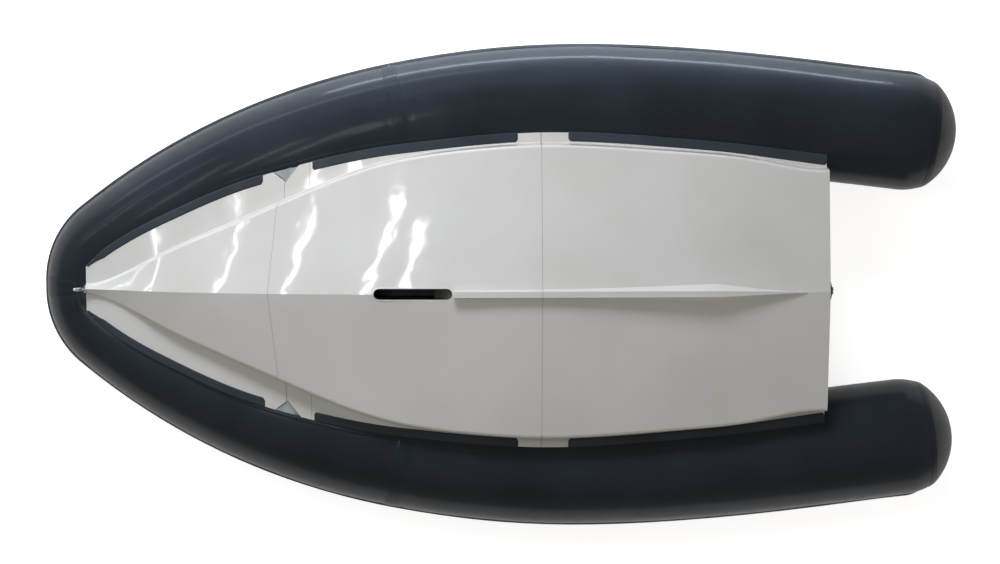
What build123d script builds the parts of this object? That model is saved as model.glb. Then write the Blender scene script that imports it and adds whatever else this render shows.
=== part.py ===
from build123d import *
from math import asin, atan2, cos, degrees, radians, sin, sqrt
import os

# A 3.3 m folding rigid inflatable tender, stored keel up on its tubes.
# X runs aft from the bow, Y to port and Z toward the keel. Heights are measured from the
# middle of the straight part of the tubes, and the whole boat is set on the floor at the end.

# Tubes
tube_radius = 210.0
nose_tube_radius = 156.0
taper_run = 1150.0
rub_strake_depth = 8.0
rub_strake_height = 46.0
nose_bend_radius = 178.0
nose_bend_turn = 56.3
shoulder_bend_radius = 2970.0
shoulder_bend_turn = 23.6
quarter_bend_radius = 3290.0
quarter_bend_turn = 12.0
stern_bend_radius = 7350.0
stern_bend_turn = 4.9
stern_straight = 416.0
baffle_run = 1323.0
sheer_rise = 140.0
sheer_start = 1300.0
end_cone_length = 104.0
end_cap_radius = 184.0
end_cap_depth = 87.0
seam_gap = 0.3

# Hull
hull_front = 170.0
hull_end = 2798.0
bow_fold_keel_x = 833.0
bow_fold_flange_x = 896.0
main_fold_x = 1790.0
fold_gap = 1.5
flange_thickness = 5.0
flange_width = 42.0
flange_seat = 0.6
flange_sink = 8.0
flat_sink = 3.0
flange_tilt = 0.05
chine_round = 12.0
foot_step = 8.0
foot_round = 3.0
deck_thickness = 15.0
deck_margin = 14.0

# Keel slot and skeg
slot_start = 1204.0
slot_end = 1476.0
slot_width = 37.0
skeg_start = 1483.0
skeg_heel = 2397.0
skeg_tip = 2716.0
skeg_flat = 21.0
skeg_start_base = 37.0
skeg_base = 100.0
skeg_level = 362.0
skeg_root = 40.0
skeg_point = 2.0

# Fabric flaps, folds and gussets
flap_width = 31.0
flap_thickness = 2.4
flap_seat = 0.3
flap_ends = ((184.0, 815.0), (989.0, 1709.0), (1886.0, 2790.0))
flap_inset = 0.6
flap_corner = 9.0
notch_width = 92.0
notch_depth = 46.0
notch_overrun = 12.0
gusset_step = 1.2
gusset_gap = 0.5
gusset_thickness = 2.4

# Keel case
case_wall = 4.0
slot_clearance = 0.5
case_hull_cover = 22.0
case_stand = 6.0
case_cover_lip = 16.0
case_cover_thickness = 6.0

# Deck
deck_front = 420.0
deck_seat = 0.3
hinge_width = 70.0
hinge_thickness = 2.5

# Transom
transom_thickness = 40.0
transom_half = 470.0
transom_top = -150.0
transom_cutout_top = -85.0
transom_cutout_width = 420.0
transom_tube_clearance = 1.5
pad_width = 240.0
pad_height = 150.0
pad_thickness = 8.0
drain_radius = 33.0
drain_depth = 12.0
drain_bore = 10.0
drain_height = 238.0

# Bow eye
eye_plate = 4.0
eye_height = 56.0
eye_ring = 20.0
eye_wire = 6.0

# Sizes of cutting blocks, larger than what they cut
reach = 2000.0
over_hull = 400.0

# Fittings on the tubes
inboard_angle = 140.0
rowlock_angle = 122.0
handle_span = 150.0
handle_rise = 40.0
valve_radius = 34.0
rowlock_bore = 7.0
rowlock_floor = 3.0
rowlock_run = 2250.0
bow_handle_run = 1000.0
aft_handle_run = 2480.0
side_valve_run = 2960.0
bow_valve_run = 720.0
thwart_x = 1950.0
thwart_level = 106.0
thwart_thickness = 24.0
thwart_width = 230.0
thwart_end_gap = 6.0


def faired(x, *points):
    """Height of a smooth batten laid through the points (x, value)."""
    last = len(points) - 1
    span = 0
    while span < last - 1 and x > points[span + 1][0]:
        span += 1

    def chord(i):
        return (points[i + 1][1] - points[i][1]) / (points[i + 1][0] - points[i][0])

    def slope(i):
        if i == 0:
            return chord(0)
        if i == last:
            return chord(last - 1)
        before, after = chord(i - 1), chord(i)
        return 0.0 if before * after <= 0 else 2 * before * after / (before + after)

    (x0, v0), (x1, v1) = points[span], points[span + 1]
    run = x1 - x0
    t = (x - x0) / run
    return (
        v0 * (1 + 2 * t) * (1 - t) ** 2
        + slope(span) * run * t * (1 - t) ** 2
        + v1 * t * t * (3 - 2 * t)
        + slope(span + 1) * run * t * t * (t - 1)
    )


# The centreline of the port tube: tangent arcs from the middle of the nose, then a straight end.
nose_x = rub_strake_depth + nose_tube_radius
bends = (
    (nose_bend_radius, nose_bend_turn),
    (shoulder_bend_radius, shoulder_bend_turn),
    (quarter_bend_radius, quarter_bend_turn),
    (stern_bend_radius, stern_bend_turn),
)
bends_run = sum(radius * radians(turn) for radius, turn in bends)
tube_run = bends_run + stern_straight


def plan_point(run):
    """Plan position and heading of the centreline at a distance from the nose."""
    x, y, heading, left = nose_x, 0.0, 90.0, run
    for radius, turn in bends:
        step = min(left, radius * radians(turn))
        new = heading - degrees(step / radius)
        x += radius * (sin(radians(heading)) - sin(radians(new)))
        y += radius * (cos(radians(new)) - cos(radians(heading)))
        heading = new
        left -= step
        if left <= 0:
            return x, y, heading
    return x + left * cos(radians(heading)), y + left * sin(radians(heading)), heading


def sheer(x):
    """How far the tube has dropped toward the floor at x, and how fast that changes."""
    if x >= sheer_start:
        return 0.0, 0.0
    reach = sheer_start - nose_x
    t = (sheer_start - x) / reach
    return -sheer_rise * t * t, 2 * sheer_rise * t / reach


def tube_size(run):
    """Tube radius at a distance from the nose."""
    t = min(run / taper_run, 1.0)
    return nose_tube_radius + (tube_radius - nose_tube_radius) * t * (2 - t)


def tube_station(run, side):
    """Plane across the tube, with its X axis pointing outboard, and the tube's radius there."""
    x, y, heading = plan_point(run)
    z, climb = sheer(x)
    c, s = cos(radians(heading)), sin(radians(heading))
    outboard = Vector(-s, side * c, 0)
    along = Vector(side * c, s, side * climb * c)
    return Plane(origin=(x, side * y, z), x_dir=outboard, z_dir=along), tube_size(run)


def tube_crest(x, y):
    """Height of the tube's keelward side over the plan point (x, y)."""
    run = 800.0
    for _ in range(80):
        px, py, heading = plan_point(run)
        c, s = cos(radians(heading)), sin(radians(heading))
        run += 0.5 * ((x - px) * c + (y - py) * s)
        run = max(run, 0.0)
    px, py, heading = plan_point(run)
    off = sqrt((x - px) ** 2 + (y - py) ** 2)
    z, climb = sheer(px)
    pitch = sqrt(1 + (climb * cos(radians(heading))) ** 2)
    size = tube_size(run)
    return z + sqrt(max(size * size - off * off, 0.0)) * pitch


def tube_loft(stations, grow=0.0):
    """A tube skinned over circles at (run, side) stations, grown by a clearance."""
    faces = []
    for run, side in stations:
        plane, radius = tube_station(run, side)
        faces.append(plane * Circle(radius + grow))
    return loft(faces)


def spaced(start, end, count):
    return [start + (end - start) * i / (count - 1) for i in range(count)]


nose_run = nose_bend_radius * radians(nose_bend_turn)


def chained_loft(make, groups):
    """Lofts over groups of evenly spaced stations, joined end to end."""
    solid = None
    for group in groups:
        piece = make(group)
        solid = piece if solid is None else solid + piece
    return solid


def side_stations(side, start, end, count=8):
    return [(run, side) for run in spaced(start, end, count)]


def bow_groups(end):
    """Stations round the nose and along the port arm of the bow."""
    return side_stations(1, 0, nose_run, 5), side_stations(1, nose_run, end, 6)


def both_sides(half):
    """A port half and its reflection, joined on the middle plane."""
    return half + mirror(half, Plane.XZ)


def make_bow_chamber():
    return both_sides(chained_loft(tube_loft, bow_groups(baffle_run - seam_gap / 2)))


def end_cone():
    """The rounded-in end of a tube, about its own axis, from the last full circle to the cap."""
    drop = tube_radius - end_cap_radius
    bulge = (end_cone_length**2 + drop**2) / (2 * drop)
    half_turn = asin(end_cone_length / bulge) / 2
    middle = (bulge * cos(half_turn) - bulge + tube_radius, bulge * sin(half_turn))
    side = ThreePointArc((tube_radius, 0), middle, (end_cap_radius, end_cone_length))
    rest = Polyline((end_cap_radius, end_cone_length), (0, end_cone_length), (0, 0), (tube_radius, 0))
    return revolve(Plane.XZ * make_face(side + rest), Axis.Z)


stern_plane, _ = tube_station(tube_run, 1)


def make_side_chamber():
    body = tube_loft(side_stations(1, baffle_run + seam_gap / 2, tube_run))
    return body + stern_plane * end_cone()


def make_end_cap():
    """The moulded cap on a tube's end: a shallow dome."""
    curve = (end_cap_radius**2 + end_cap_depth**2) / (2 * end_cap_depth)
    half_turn = asin(end_cap_radius / curve) / 2
    middle = (curve * sin(half_turn), end_cap_depth - curve + curve * cos(half_turn))
    dome = ThreePointArc((0, end_cap_depth), middle, (end_cap_radius, 0))
    rest = Polyline((end_cap_radius, 0), (0, 0), (0, end_cap_depth))
    cap = revolve(Plane.XZ * make_face(dome + rest), Axis.Z)
    return stern_plane * Pos(0, 0, end_cone_length + seam_gap) * cap


def strake_loft(stations):
    """The rubbing strake on the outboard line of the tube, over a run of stations."""
    half, inner = rub_strake_height / 2, seam_gap
    faces = []
    for run, side in stations:
        plane, radius = tube_station(run, side)
        seat = radius + inner
        heel = sqrt(seat * seat - half * half)
        back = ThreePointArc((heel, -half), (seat, 0), (heel, half))
        lip = radius + rub_strake_depth
        front = Polyline((heel, half), (lip - 2, half * 0.62), (lip, 0), (lip - 2, -half * 0.62), (heel, -half))
        faces.append(plane * make_face(back + front))
    return loft(faces)


def make_rub_strake():
    groups = bow_groups(baffle_run) + (side_stations(1, baffle_run, tube_run),)
    return both_sides(chained_loft(strake_loft, groups))


# The hull's lines, each a batten through a few heights and half widths.
def flange_edge(x):
    return faired(x, (hull_front, 78), (237, 141), (448, 261), (801, 405), (1294, 514),
                  (1830, 557), (2351, 526), (hull_end, 474))


def chine_half(x):
    return faired(x, (hull_front, 9), (213, 16), (458, 129), (853, 300), (1297, 463),
                  (1789, 514), (2300, 487), (hull_end, 425))


def chine_height(x):
    return faired(x, (hull_front, 57), (213, 66), (458, 150), (853, 232), (1297, 260),
                  (1789, 264), (hull_end, 250))


def keel_height(x):
    return faired(x, (hull_front, 64), (213, 76), (458, 186), (853, 290), (1297, 336),
                  (1789, 345), (2300, 326), (hull_end, 302))


def flange_points(x):
    """The flange's outer edge and its foot under the chine at x, as half widths and heights."""
    edge, foot = flange_edge(x), chine_half(x) + foot_step
    seat = tube_crest(x, edge) + flange_seat
    return (edge, seat), (foot, seat + (edge - foot) * flange_tilt)


def flange_root(x):
    """Half width at which the flange's underside leaves the tube."""
    edge = flange_edge(x)
    return edge - min(flange_width, (edge - chine_half(x)) * 0.62)


def deck_level(x):
    """Height of the hull's inner flat, which carries the deck."""
    return tube_crest(x, flange_root(x)) + flange_seat - flat_sink


def cross_plane(x):
    """Plane across the boat at x: its X axis is to port and its Y axis toward the keel."""
    return Plane(origin=(x, 0, 0), x_dir=(0, 1, 0), z_dir=(1, 0, 0))


def cross_face(x, points):
    return cross_plane(x) * make_face(Polyline(*points, close=True))


def hull_section(x):
    """Port half of the hull's cross-section at x: bottom, rounded chine, steep side, flat flange
    and the flat under the deck. The flange's underside runs into the tube, which is cut away
    from it later."""
    edge, foot = flange_points(x)
    chine = (chine_half(x), chine_height(x))
    foot = (foot[0], foot[1] + flange_thickness)
    outline = [
        (0, keel_height(x)),
        chine,
        foot,
        (edge[0], edge[1] + flange_thickness),
        (edge[0], edge[1] - flange_sink),
        (flange_root(x), deck_level(x)),
        (0, deck_level(x)),
    ]
    face = make_face(Polyline(*outline, close=True))
    side = sqrt((foot[0] - chine[0]) ** 2 + (foot[1] - chine[1]) ** 2)
    face = fillet(face.vertices().sort_by_distance((*foot, 0))[0], foot_round)
    corner = face.vertices().sort_by_distance((*chine, 0))[0]
    return cross_plane(x) * fillet(corner, min(chine_round, side * 0.5, chine[0] * 0.6))


hull_stations = (hull_front, 213, 280, 458, 650, 853, 1070, 1297, 1540, 1789, 2050, 2300, 2550, hull_end)


def make_hull():
    """The whole hull in one length, seated on the tubes, before it is parted at its folds."""
    half = loft([hull_section(x) for x in hull_stations])
    for stations in bow_groups(baffle_run) + (side_stations(1, baffle_run, tube_run),):
        half -= tube_loft(stations, flange_seat)
    return both_sides(half)


def half_space(plane):
    """A block on the plane's positive side, larger than the boat."""
    return plane * Pos(0, 0, reach) * Box(2 * reach, 2 * reach, 2 * reach)


flange_fold_height = tube_crest(bow_fold_flange_x, flange_edge(bow_fold_flange_x))
bow_fold_drop = keel_height(bow_fold_keel_x) - flange_fold_height
bow_fold_rake = atan2(bow_fold_flange_x - bow_fold_keel_x, bow_fold_drop)
bow_fold = Plane(
    origin=(bow_fold_keel_x, 0, keel_height(bow_fold_keel_x)),
    x_dir=(0, 1, 0),
    z_dir=(cos(bow_fold_rake), 0, sin(bow_fold_rake)),
)
main_fold = Plane(origin=(main_fold_x, 0, 0), x_dir=(0, 1, 0), z_dir=(1, 0, 0))


def between(shape, front, back):
    """The part of a shape between two fold planes, each drawn back by half the gap."""
    if front is not None:
        shape = shape & half_space(front.offset(fold_gap / 2))
    if back is not None:
        shape = shape - half_space(back.offset(-fold_gap / 2))
    return shape


def skeg():
    """The skeg: a tapering fin with a flat sole, ending in a long point aft."""
    def rib(x, sole, base, level):
        root = keel_height(x) - skeg_root
        outline = [(-sole / 2, level), (sole / 2, level), (base / 2, root), (-base / 2, root)]
        return cross_face(x, outline)

    heel = rib(skeg_heel, skeg_flat, skeg_base, skeg_level)
    fin = loft([rib(skeg_start, skeg_flat, skeg_start_base, skeg_level), heel])
    tip_level = keel_height(skeg_tip) + 1
    point = loft([heel, rib(skeg_tip, skeg_point, 2 * skeg_point, tip_level)])
    return fin + point


slot_middle = (slot_start + slot_end) / 2
slot_length = slot_end - slot_start


def slot_prism(grow, low, high):
    """An upright prism on the keel slot's outline, grown by a wall."""
    outline = SlotOverall(slot_length + 2 * grow, slot_width + 2 * grow)
    return extrude(Pos(slot_middle, 0, low) * outline, high - low)


def notch(side, shrink=0.0):
    """The wedge-shaped cut in the flange at the bow fold."""
    x = bow_fold_flange_x
    lean = flange_edge(x + 50) - flange_edge(x - 50)
    edge = flange_edge(x)
    tip = edge - notch_depth + 2 * shrink
    half = notch_width / 2 - shrink
    slant = lean / 100 * half
    outline = [
        (x, side * tip),
        (x + half, side * (edge + slant)),
        (x + half, side * (edge + slant + notch_overrun)),
        (x - half, side * (edge - slant + notch_overrun)),
        (x - half, side * (edge - slant)),
    ]
    return extrude(make_face(Polyline(*outline, close=True)), reach)


def make_gusset(hull, side):
    """The slack fabric across the notch, a little below the flange's face."""
    below = Pos(0, 0, -gusset_step - gusset_thickness) * hull
    return Pos(0, 0, -gusset_step) * hull & notch(side, gusset_gap) - below


def make_flap(hull, start, end):
    """A fabric flap bonded over the outer part of the flange, port side."""
    stations = spaced(start, end, 5)
    rim = [(x, flange_edge(x) - flap_inset) for x in stations]
    heel = [(x, flange_edge(x) - flap_width) for x in stations]
    outline = make_face(Spline(*rim) + Spline(*heel) + Line(rim[0], heel[0]) + Line(rim[-1], heel[-1]))
    outline = fillet(outline.vertices(), flap_corner)
    prism = extrude(outline, reach)
    return Pos(0, 0, flap_seat + flap_thickness) * hull & prism - Pos(0, 0, flap_seat) * hull


def tube_inboard(x, z):
    """Half width between the tubes at x and height z."""
    low, high = 0.0, tube_run

    def reach_at(run):
        px, py, heading = plan_point(run)
        centre, _ = sheer(px)
        size = tube_size(run)
        wide = sqrt(max(size * size - (z - centre) ** 2, 0.0))
        return px + wide * sin(radians(heading)), py - wide * cos(radians(heading))

    for _ in range(50):
        middle = (low + high) / 2
        if reach_at(middle)[0] < x:
            low = middle
        else:
            high = middle
    return reach_at(low)[1]


def deck_section(x, top, bottom, margin=deck_margin):
    """A strip of decking across the boat, between two depths under the hull's flat."""
    level = deck_level(x)
    half = min(tube_inboard(x, level - bottom), tube_inboard(x, level - top)) - margin
    return cross_face(x, [(-half, level - top), (half, level - top), (half, level - bottom), (-half, level - bottom)])


def make_deck(hull):
    """The deck in one length, lying against the hull's flat."""
    end = hull_end - transom_thickness - 1
    stations = (deck_front, 520, 650, 853, 1070, 1297, 1540, 1789, 2050, 2300, 2550, end)
    blank = loft([deck_section(x, -5, deck_seat + deck_thickness) for x in stations])
    return blank - Pos(0, 0, -deck_seat) * hull


def make_hinge(deck, x):
    """A rubber hinge strip along the deck's face at a fold."""
    low = deck_seat + deck_thickness + deck_seat + hinge_thickness
    stations = (x - hinge_width / 2, x, x + hinge_width / 2)
    blank = loft([deck_section(s, low - 6, low, 40.0) for s in stations])
    return blank - Pos(0, 0, -deck_seat) * deck


def transom_tube(side):
    """The space that a tube takes at the transom."""
    run = tube_run - (stern_plane.origin.X - hull_end) / cos(radians(stern_bend_turn))
    plane, radius = tube_station(run, side)
    return plane * Pos(0, 0, -100) * extrude(Circle(radius + transom_tube_clearance), 200)


def make_transom(hull):
    """The transom board, shaped to the tubes, with the engine's cut-out in its top."""
    low = deck_level(hull_end) + 10
    height = low - transom_top
    blank = Pos(0, low - height / 2) * RectangleRounded(2 * transom_half, height, 30)
    blank += Pos(0, low - 40) * Rectangle(2 * transom_half, 80)
    cut_height = transom_cutout_top - transom_top
    blank -= Pos(0, transom_top) * RectangleRounded(transom_cutout_width, 2 * cut_height, 45)
    board = extrude(cross_plane(hull_end - transom_thickness) * blank, transom_thickness)
    board -= Pos(0, 0, -deck_seat) * hull
    for side in (1, -1):
        board -= transom_tube(side)
    return board & Pos(hull_end, 0, 0) * Box(400, 2 * transom_foot, 2000)


transom_foot = flange_root(hull_end) - 6


def make_clamp_pad():
    """The pad that an engine's clamp screws press on."""
    outline = Pos(0, transom_cutout_top + 12 + pad_height / 2) * RectangleRounded(pad_width, pad_height, 20)
    return extrude(cross_plane(hull_end - transom_thickness - deck_seat) * outline, -pad_thickness)


def make_drain():
    """The drain on the hull's aft end: a low dome with a threaded mouth."""
    curve = (drain_radius**2 + drain_depth**2) / (2 * drain_depth)
    half_turn = asin(drain_radius / curve) / 2
    middle = (curve * sin(half_turn), drain_depth - curve + curve * cos(half_turn))
    dome = ThreePointArc((0, drain_depth), middle, (drain_radius, 0))
    rest = Polyline((drain_radius, 0), (0, 0), (0, drain_depth))
    body = revolve(Plane.XZ * make_face(dome + rest), Axis.Z)
    body -= Cylinder(drain_bore, 100)
    return Plane(origin=(hull_end + seam_gap, 0, drain_height), z_dir=(1, 0, 0)) * body


def make_bow_eye():
    """The stainless eye on the hull's front end: a plate and a standing ring."""
    x = hull_front - seam_gap
    plate = Pos(x - eye_plate / 2, 0, eye_height) * Box(eye_plate, 26, 18)
    ring = Pos(x - eye_plate - eye_ring + 2, 0, eye_height + 6) * Rot(90, 0, 0) * Torus(eye_ring - eye_wire, eye_wire)
    return plate + ring


def fitting_seat(run, angle):
    """Place on the port tube's skin, its X axis along the tube and its Z axis off the skin, at
    an angle round the tube from outboard toward the deck's side."""
    plane, radius = tube_station(run, 1)
    out = plane.x_dir * cos(radians(angle)) - plane.y_dir * sin(radians(angle))
    return Plane(origin=plane.origin + out * radius, x_dir=plane.z_dir, z_dir=out)


def skin_near(run, grow):
    """The port chamber that carries a fitting at a run, grown by a clearance."""
    if run < baffle_run:
        return tube_loft(side_stations(1, nose_run, baffle_run - seam_gap / 2, 6), grow)
    return tube_loft(side_stations(1, baffle_run + seam_gap / 2, tube_run), grow)


def make_handle(run):
    """A moulded grab handle: two feet on the tube and an arched grip."""
    half = handle_span / 2
    feet = [Pos(side * half, 0, -20) * extrude(RectangleRounded(54, 60, 12), 24) for side in (1, -1)]
    outer = ThreePointArc((-half - 12, -2), (0, handle_rise), (half + 12, -2))
    inner = ThreePointArc((-half + 6, -2), (0, handle_rise - 6), (half - 6, -2))
    ends = Line((-half - 12, -2), (-half + 6, -2)) + Line((half - 6, -2), (half + 12, -2))
    grip = Rot(90, 0, 0) * extrude(make_face(outer + inner + ends), 14, both=True)
    body = fitting_seat(run, inboard_angle) * (feet[0] + feet[1] + grip)
    return body - skin_near(run, seam_gap)


def make_valve(run):
    """An inflation valve: a round flange with a raised cap."""
    body = Pos(0, 0, -10) * extrude(Circle(valve_radius), 14)
    body += extrude(Circle(valve_radius * 0.62), 9)
    return fitting_seat(run, inboard_angle) * body - skin_near(run, seam_gap)


def make_rowlock():
    """A rowlock's moulded base, with a socket for its pin."""
    body = Pos(0, 0, -12) * extrude(RectangleRounded(120, 56, 20), 30)
    body -= Pos(0, 0, rowlock_floor) * extrude(Circle(rowlock_bore), 60)
    return fitting_seat(rowlock_run, rowlock_angle) * body - skin_near(rowlock_run, seam_gap)


def make_thwart():
    """The seat board across the cockpit, resting on a block on each tube."""
    half = tube_inboard(thwart_x, -thwart_level) - thwart_end_gap
    board = extrude(RectangleRounded(thwart_width, 2 * half, 30), thwart_thickness)
    return Pos(thwart_x, 0, -thwart_level - thwart_thickness) * board


def make_thwart_rest():
    """The block on the port tube that carries an end of the thwart."""
    half = tube_inboard(thwart_x, -thwart_level) - thwart_end_gap
    block = Pos(thwart_x, half - 20, -thwart_level + seam_gap + 22) * Box(thwart_width - 60, 100, 44)
    return block - skin_near(thwart_x, seam_gap)


parts = {}


def add(name, shape):
    parts[name] = shape


hull = make_hull()
notched = hull - notch(1) - notch(-1)
slot_cut = slot_prism(slot_clearance, 0, over_hull)
case_top = keel_height(slot_end) - case_hull_cover
case_hole = slot_prism(case_wall + slot_clearance, 0, case_top)
fin = skeg()
add("hull_bow_section", between(notched, None, bow_fold))
middle_section = between(notched, bow_fold, main_fold) + between(fin, None, main_fold)
add("hull_middle_section", middle_section - slot_cut - case_hole)
add("hull_aft_section", between(hull, main_fold, None) + between(fin, main_fold, None))

whole_deck = make_deck(hull)
deck = whole_deck - slot_prism(case_wall + slot_clearance, 0, over_hull)
add("deck_bow_panel", between(deck, None, bow_fold))
add("deck_middle_panel", between(deck, bow_fold, main_fold))
add("deck_aft_panel", between(deck, main_fold, None))
add("deck_hinge_bow", make_hinge(whole_deck, bow_fold_flange_x))
add("deck_hinge_main", make_hinge(whole_deck, main_fold_x))

case_low = deck_level(slot_middle) - deck_thickness - case_stand
case = slot_prism(case_wall, case_low, case_top - slot_clearance) - slot_prism(0, 0, over_hull)
cover_top = case_low - seam_gap
add("keel_case", case)
add("keel_case_cover", slot_prism(case_cover_lip, cover_top - case_cover_thickness, cover_top))

add("tube_bow_chamber", make_bow_chamber())
pairs = {
    "tube_{}_chamber": make_side_chamber(),
    "stern_cap_{}": make_end_cap(),
    "fold_gusset_{}": make_gusset(hull, 1),
    "thwart_rest_{}": make_thwart_rest(),
    "rowlock_base_{}": make_rowlock(),
    "grab_handle_bow_{}": make_handle(bow_handle_run),
    "grab_handle_aft_{}": make_handle(aft_handle_run),
    "valve_{}": make_valve(side_valve_run),
}
for (start, end), place in zip(flap_ends, ("bow", "middle", "aft")):
    pairs["flap_" + place + "_{}"] = make_flap(hull, start, end)
for name, shape in pairs.items():
    add(name.format("port"), shape)
    add(name.format("starboard"), mirror(shape, Plane.XZ))
add("valve_bow", make_valve(bow_valve_run))
add("rub_strake", make_rub_strake())
add("transom", make_transom(hull))
add("transom_clamp_pad", make_clamp_pad())
add("hull_drain", make_drain())
add("bow_eye", make_bow_eye())
add("thwart", make_thwart())


def lowest(plane, radius, pitch):
    """Height of the lowest point of a circle across the tube, once the boat is pitched."""
    turn = Rot(0, pitch, 0)
    centre = (turn * Pos(plane.origin)).position
    along = (turn * Pos(plane.z_dir)).position
    return centre.Z - radius * sqrt(1 - along.Z**2)


def resting_height(pitch):
    """Lowest points of the nose and of a stern end at a pitch."""
    nose = min(lowest(*tube_station(run, 1), pitch) for run in spaced(0, 400, 21))
    drop = tube_radius - end_cap_radius
    bulge = (end_cone_length**2 + drop**2) / (2 * drop)
    stern = min(
        lowest(stern_plane.offset(reach_aft), tube_radius - bulge + sqrt(bulge**2 - reach_aft**2), pitch)
        for reach_aft in spaced(0, 30, 31)
    )
    return nose, stern


low_pitch, high_pitch = 0.0, 6.0
for _ in range(40):
    rest_pitch = (low_pitch + high_pitch) / 2
    nose_low, stern_low = resting_height(rest_pitch)
    if nose_low < stern_low:
        low_pitch = rest_pitch
    else:
        high_pitch = rest_pitch

turned = Rot(0, rest_pitch, 0)
boxes = [(turned * shape).bounding_box() for shape in parts.values()]
middle_x = (min(box.min.X for box in boxes) + max(box.max.X for box in boxes)) / 2
placement = Pos(-middle_x, 0, -nose_low) * turned
print("rest pitch", round(rest_pitch, 3), "lowest piece", min(box.min.Z for box in boxes) - nose_low)

os.makedirs("parts", exist_ok=True)
for name, shape in parts.items():
    export_step(placement * shape, "parts/" + name + ".step")
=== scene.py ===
import bmesh
import bpy
from math import asin, cos, degrees, exp, hypot, pi, radians, sin, sqrt
from mathutils import Matrix, Vector
from mathutils.bvhtree import BVHTree


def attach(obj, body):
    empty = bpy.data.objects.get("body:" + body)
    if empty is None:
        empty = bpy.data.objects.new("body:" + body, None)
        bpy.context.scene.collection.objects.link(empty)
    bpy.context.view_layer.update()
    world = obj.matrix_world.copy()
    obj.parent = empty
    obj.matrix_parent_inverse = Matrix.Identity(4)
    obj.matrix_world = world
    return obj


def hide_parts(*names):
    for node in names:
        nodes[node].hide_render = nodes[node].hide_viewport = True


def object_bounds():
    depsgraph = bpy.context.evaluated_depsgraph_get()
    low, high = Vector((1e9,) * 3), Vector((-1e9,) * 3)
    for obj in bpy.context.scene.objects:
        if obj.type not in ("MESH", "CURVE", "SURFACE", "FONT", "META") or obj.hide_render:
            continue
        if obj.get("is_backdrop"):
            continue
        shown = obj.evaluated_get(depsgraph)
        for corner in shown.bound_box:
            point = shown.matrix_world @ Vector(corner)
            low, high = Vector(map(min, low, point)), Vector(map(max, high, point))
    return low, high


# An upturned folding tender: a white moulded hull in three lengths on a charcoal tube.
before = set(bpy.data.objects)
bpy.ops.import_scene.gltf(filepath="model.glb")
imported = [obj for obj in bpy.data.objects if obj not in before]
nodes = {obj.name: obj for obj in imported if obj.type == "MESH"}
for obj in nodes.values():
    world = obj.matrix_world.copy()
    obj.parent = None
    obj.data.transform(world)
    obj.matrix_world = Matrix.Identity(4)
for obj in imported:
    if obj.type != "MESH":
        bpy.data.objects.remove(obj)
cad_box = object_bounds()
MM = 0.001

# Where the drawing's axes lie in the frame: drawn level in mm, then pitched as the boat rests.
REST_PITCH = radians(1.7368093)
MIDDLE_X = 1640.7757
REST_LIFT = 303.834


def placed(x, y, z):
    """A point of the drawing, in mm, as a place in the frame, in metres."""
    c, s = cos(REST_PITCH), sin(REST_PITCH)
    return Vector(((x * c + z * s - MIDDLE_X) * MM, y * MM, (z * c - x * s + REST_LIFT) * MM))


# ---- Camera: over the upturned bottom, leaning a little to port ----
camera_place = Vector((0.0669, 0.7332, 9.076))
sight = Vector((-0.0066, -0.0811, -0.9967)).normalized()
picture_up = Vector((0.0011, 0.9967, -0.0811))
picture_right = sight.cross(picture_up).normalized()
picture_up = picture_right.cross(sight).normalized()
camera_data = bpy.data.cameras.new("camera")
camera_data.sensor_width = 36.0
camera_data.lens = 88.48
camera_data.clip_end = 100.0
camera = bpy.data.objects.new("camera", camera_data)
bpy.context.collection.objects.link(camera)
turn = Matrix((picture_right, picture_up, -sight)).transposed().to_4x4()
camera.matrix_world = Matrix.Translation(camera_place) @ turn
bpy.context.scene.camera = camera


# ---- Materials ----
def paint(hex_code):
    """An sRGB hex colour as linear RGBA."""
    parts = [int(hex_code[i:i + 2], 16) / 255 for i in (0, 2, 4)]
    return [p / 12.92 if p <= 0.04045 else ((p + 0.055) / 1.055) ** 2.4 for p in parts] + [1.0]


def add(tree, kind, inputs=None, **settings):
    """Adds a node with its settings, and sets or links its inputs. A node given as an input
    stands for its first output."""
    node = tree.nodes.new("ShaderNode" + kind)
    for name, value in settings.items():
        setattr(node, name, value)
    for key, value in (inputs or {}).items():
        if isinstance(value, bpy.types.Node):
            value = value.outputs[0]
        if isinstance(value, bpy.types.NodeSocket):
            tree.links.new(value, node.inputs[key])
        else:
            node.inputs[key].default_value = value
    return node


def new_material(name):
    """A new material, its empty tree and the object's own coordinates."""
    material = bpy.data.materials.new(name)
    material.use_nodes = True
    tree = material.node_tree
    tree.nodes.clear()
    return material, tree, add(tree, "TexCoord").outputs["Object"]


def to_scale(size_mm):
    """The scale at which a pattern's features are about this size."""
    return 1000.0 / size_mm


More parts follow.
